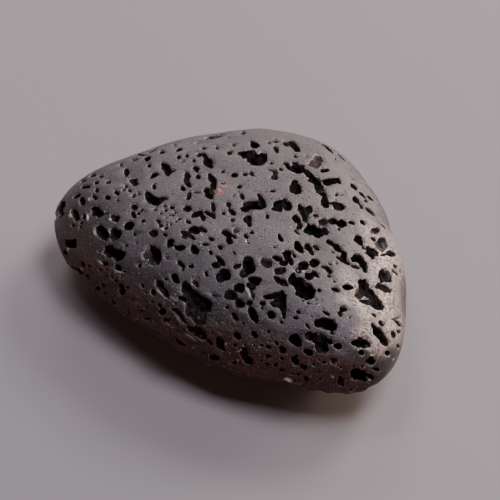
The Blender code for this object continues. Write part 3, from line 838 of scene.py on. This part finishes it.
def basalt():
    n = Nodes("basalt")
    # millimetres, so every scale below reads in features per mm
    place = n.add("ShaderNodeVectorMath", {0: n.add("ShaderNodeTexCoord").outputs["Object"],
                                           "Scale": 1000.0}, operation="SCALE").outputs[0]
    depth, flank, pale_and_glint, rust, crust_and_highlight, red, painted_slant_shade = (
        n.attribute(k) for k in ("depth", "flank", "pale_and_glint", "rust", "crust_and_highlight", "red", "painted_slant_shade"))

    blotch = n.noise(place, 0.16, 3.0, 0.55)
    mottle = n.noise(place, 1.1, 4.0, 0.6)
    grain = n.noise(place, 5.5, 2.0, 0.6)
    speck = n.noise(place, 9.0, 1.0, 0.5)
    pinholes = n.math("MAXIMUM", n.dots(place, 1.5, 0.8, 0.17),
                      n.dots(place, 2.9, 0.8, 0.10))
    crystals_and_glints = n.math("MAXIMUM", n.dots(place, 3.1, 0.4, 0.10), n.dots(place, 1.3, 0.25, 0.14))
    glass = n.dots(place, 2.1, 0.75, 0.21)

    inside = n.ramp(n.math("ADD", depth, n.ramp(grain, 0.3, 0.7, -0.05, 0.05)), 0.07, 0.22)
    # painted shade from the slanted openings joins the hollow mask
    inside = n.math("MAXIMUM", inside, painted_slant_shade)
    rim = n.math("MULTIPLY", n.ramp(depth, 0.02, 0.09), n.ramp(depth, 0.25, 0.11))
    rim = n.math("MULTIPLY", rim, n.ramp(painted_slant_shade, 0.0, 1.0, 1.0, 0.12))
    low = n.math("ADD", flank, n.math("MULTIPLY", n.ramp(mottle, 0.3, 0.7, -0.4, 0.4),
                                      n.ramp(flank, 0.0, 0.2)), clamp=True)
    worn = n.math("MULTIPLY", n.ramp(low, 0.0, 1.0, 1.0, 0.17),
                  n.ramp(inside, 0.0, 1.0, 1.0, 0.25))
    worn = n.math("MAXIMUM", worn, n.math("MULTIPLY", glass, inside))
    worn = n.math("MULTIPLY", worn, n.ramp(pinholes, 0.0, 1.0, 1.0, 0.1))
    worn = n.math("MULTIPLY", worn, n.ramp(grain, 0.36, 0.60, 0.62, 1.0))
    worn = n.math("MULTIPLY", worn, n.ramp(speck, 0.30, 0.50, 0.60, 1.0))
    n.link(worn, "Coat Weight")
    n.shader.inputs["Coat IOR"].default_value = 1.65
    n.shader.inputs["Coat Roughness"].default_value = 0.36
    n.shader.inputs["IOR"].default_value = 1.33
    n.shader.inputs["Roughness"].default_value = 0.75

    # the skin: worn charcoal, cooler on top and red-brown low on the flanks
    skin = n.mix(n.ramp(blotch, 0.35, 0.65), (0.021, 0.0172, 0.0215), (0.029, 0.0245, 0.027))
    skin = n.mix(n.ramp(mottle, 0.35, 0.7, 0.0, 0.45), skin, (0.017, 0.0125, 0.0135))
    skin = n.mix(low, skin, n.mix(n.ramp(mottle, 0.44, 0.62), (0.028, 0.0058, 0.0044),
                                  (0.068, 0.0210, 0.0160)))
    skin = n.mix(n.ramp(speck, 0.56, 0.70, 0.0, 0.6), skin, (0.135, 0.118, 0.120))
    skin = n.mix(n.ramp(speck, 0.44, 0.32, 0.0, 0.7), skin, (0.006, 0.0045, 0.0045))
    # painted shade: pinholes too small to carve are coloured dark
    skin = n.mix(n.math("MULTIPLY", pinholes, 0.9), skin, (0.005, 0.0035, 0.0035))
    # pale mineral specks, which also stand in for painted glints
    skin = n.mix(n.math("MULTIPLY", crystals_and_glints, n.ramp(mottle, 0.35, 0.65, 0.25, 1.0)), skin,
                 (0.36, 0.32, 0.30))
    # pale grit on the flank and rust, which also stands in for painted glints
    grit_and_glints = n.math("MULTIPLY", n.dots(place, 2.7, 0.55, 0.13), n.math("MAXIMUM", low, rust))
    skin = n.mix(grit_and_glints, skin, (0.20, 0.13, 0.105))
    # the hollows: rough and brown-black, with the odd paler crumb that also stands in for a painted glint
    hollow = n.mix(n.ramp(mottle, 0.47, 0.64), (0.0075, 0.0048, 0.0043), (0.025, 0.0165, 0.0140))
    hollow = n.mix(n.ramp(speck, 0.60, 0.76, 0.0, 0.6), hollow, (0.085, 0.058, 0.045))
    hollow = n.mix(crystals_and_glints, hollow, (0.26, 0.22, 0.20))
    colour = n.mix(inside, skin, hollow)
    # the broken rims, paler and warmer: partly pale dust on broken edges, partly a painted highlight, brighter towards
    # the lit end
    broken = n.math("MULTIPLY", n.ramp(grain, 0.36, 0.60, 0.15, 1.0),
                    n.ramp(low, 0.0, 1.0, 1.0, 0.5))
    # painted light: rims get paler towards the end where the light falls
    painted_lit_end = n.ramp(n.add("ShaderNodeSeparateXYZ", {0: place}).outputs[0], 4.0, 17.0)
    rim_dust_and_highlight = n.mix(painted_lit_end, (0.36, 0.30, 0.255), (0.66, 0.58, 0.51))
    colour = n.mix(n.math("MULTIPLY", rim, broken), colour, rim_dust_and_highlight)
    lip = n.math("MULTIPLY", n.ramp(depth, 0.0, 0.08), n.ramp(depth, 0.45, 0.18))
    lip = n.math("MULTIPLY", lip, n.ramp(painted_slant_shade, 0.0, 1.0, 1.0, 0.12))
    # lips flecked with pale crumbs and painted highlight
    lip_crumbs_and_highlight = n.math("MULTIPLY", lip, n.ramp(n.noise(place, 7.0, 1.0, 0.5), 0.54, 0.66))
    colour = n.mix(n.math("MULTIPLY", lip_crumbs_and_highlight, n.ramp(painted_lit_end, 0.0, 1.0, 0.6, 0.85)), colour, rim_dust_and_highlight)
    # painted glints: bright dots along the lips of the hollows
    painted_rim_glints = n.math("MULTIPLY", lip, n.dots(place, 3.6, 0.5, 0.12))
    colour = n.mix(painted_rim_glints, colour, (0.80, 0.73, 0.67))
    # the crust on the end nearest the light, crumbly and pale, and painted brighter as the highlight there
    flaky_crust_and_highlight = n.math("MULTIPLY", crust_and_highlight, n.ramp(n.noise(place, 2.8, 4.0, 0.7), 0.38, 0.54))
    flaky_crust_and_highlight = n.math("MULTIPLY", flaky_crust_and_highlight, n.ramp(inside, 0.0, 1.0, 1.0, 0.15))
    colour = n.mix(flaky_crust_and_highlight, colour, (0.84, 0.70, 0.58))
    flecks = n.math("MULTIPLY", crust_and_highlight, n.ramp(n.noise(place, 3.6, 2.0, 0.6), 0.40, 0.33))
    colour = n.mix(flecks, colour, (0.020, 0.013, 0.011))
    colour = n.mix(rust, colour, (0.095, 0.038, 0.014))
    colour = n.mix(red, colour, (0.38, 0.090, 0.055))
    # pale chips and crumbs, and painted glints
    colour = n.mix(pale_and_glint, colour, (0.90, 0.84, 0.78))
    n.link(colour, "Base Color")

    # relief, in mm
    relief = n.math("MULTIPLY", grain, 0.075)
    relief = n.math("ADD", relief, n.math("MULTIPLY", speck, 0.035))
    relief = n.math("ADD", relief, n.math("MULTIPLY", pinholes, -0.07))
    rough = n.math("ADD", n.math("MULTIPLY", n.noise(place, 1.6, 5.0, 0.65),
                                 n.math("MULTIPLY", low, 0.40)),
                   n.math("MULTIPLY", n.noise(place, 2.8, 4.0, 0.6),
                          n.math("MULTIPLY", inside, 0.50)))
    relief = n.math("ADD", relief, rough)
    relief = n.math("ADD", relief, n.math("MULTIPLY", flaky_crust_and_highlight, 0.10))
    relief = n.math("ADD", relief, n.math("MULTIPLY", flecks, -0.10))
    bump = n.add("ShaderNodeBump", {"Height": relief, "Distance": 0.001, "Strength": 1.0})
    n.link(bump.outputs["Normal"], "Normal", "Coat Normal")
    return n.material


def slab():
    n = Nodes("floor")
    place = n.add("ShaderNodeTexCoord").outputs["Object"]
    tone = n.noise(place, 9.0, 3.0, 0.5)
    n.link(n.mix(tone, (0.285, 0.275, 0.275), (0.32, 0.31, 0.31)), "Base Color")
    n.shader.inputs["Roughness"].default_value = 0.85
    return n.material


# ---- lights and camera -------------------------------------------------------
# name, turn and height as seen from the stone (degrees), distance, width and
# height of the panel (m), power (W), colour
LIGHTS = (
    ("key", 45, 40, 0.60, 0.18, 0.18, 1.75, (1.04, 0.95, 0.98)),
    ("right", 30, 10, 0.60, 0.18, 0.18, 2.35, (1.30, 0.94, 0.77)),
    ("right_back", 60, 10, 0.60, 0.18, 0.18, 1.25, (1.22, 0.94, 0.82)),
    ("back_low", 90, 10, 0.60, 0.18, 0.18, 0.52, (1.10, 0.94, 0.96)),
    ("back", 90, 40, 0.60, 0.20, 0.18, 0.54, (0.97, 0.93, 1.07)),
    ("top", -15, 72, 0.60, 0.20, 0.20, 2.00, (0.99, 0.92, 1.05)),
    ("crown", 135, 72, 0.60, 0.20, 0.20, 0.68, (1.04, 0.92, 1.04)),
    ("fill", -90, 10, 0.60, 0.30, 0.16, 0.50, (1.45, 0.78, 0.66)),
)


def area_light(name, turn, rise, distance, wide, tall, power, colour):
    data = bpy.data.lights.new(name, "AREA")
    data.shape = "RECTANGLE"
    data.size, data.size_y = wide, tall
    data.energy = power
    data.color = colour
    light = bpy.data.objects.new(name, data)
    bpy.context.scene.collection.objects.link(light)
    a, e = math.radians(turn), math.radians(rise)
    out = Vector((math.cos(a) * math.cos(e), math.sin(a) * math.cos(e), math.sin(e)))
    light.location = Vector((0, 0, 0.01)) + out * distance
    light.rotation_euler = (-out).to_track_quat("-Z", "Y").to_euler()


def light_and_camera():
    for row in LIGHTS:
        area_light(*row)
    world = bpy.data.worlds.new("studio")
    bpy.context.scene.world = world
    world.use_nodes = True
    world.node_tree.nodes["Background"].inputs["Color"].default_value = (0.9, 0.92, 1.0, 1)
    world.node_tree.nodes["Background"].inputs["Strength"].default_value = 0.01
    data = bpy.data.cameras.new("camera")
    data.sensor_width = 36.0
    data.lens = 36.0 * DISTANCE / (500 * UNIT)
    data.clip_start = 0.01
    data.clip_end = 10.0
    camera = bpy.data.objects.new("camera", data)
    bpy.context.scene.collection.objects.link(camera)
    camera.matrix_world = Matrix((
        (RIGHT[0], UP[0], BACK[0], EYE[0] * 0.001),
        (RIGHT[1], UP[1], BACK[1], EYE[1] * 0.001),
        (RIGHT[2], UP[2], BACK[2], EYE[2] * 0.001),
        (0, 0, 0, 1)))
    bpy.context.scene.camera = camera


def studio_floor():
    mesh = bpy.data.meshes.new("floor")
    mesh.from_pydata([(-2, -2, 0), (2, -2, 0), (2, 2, 0), (-2, 2, 0)], [], [(0, 1, 2, 3)])
    floor = bpy.data.objects.new("floor", mesh)
    bpy.context.scene.collection.objects.link(floor)
    mesh.materials.append(slab())
    return floor


# ---- the scene ---------------------------------------------------------------
stone = make_stone()
stone.data.materials.clear()
stone.data.materials.append(basalt())
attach(stone, "root")
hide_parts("stone")
studio_floor()
light_and_camera()
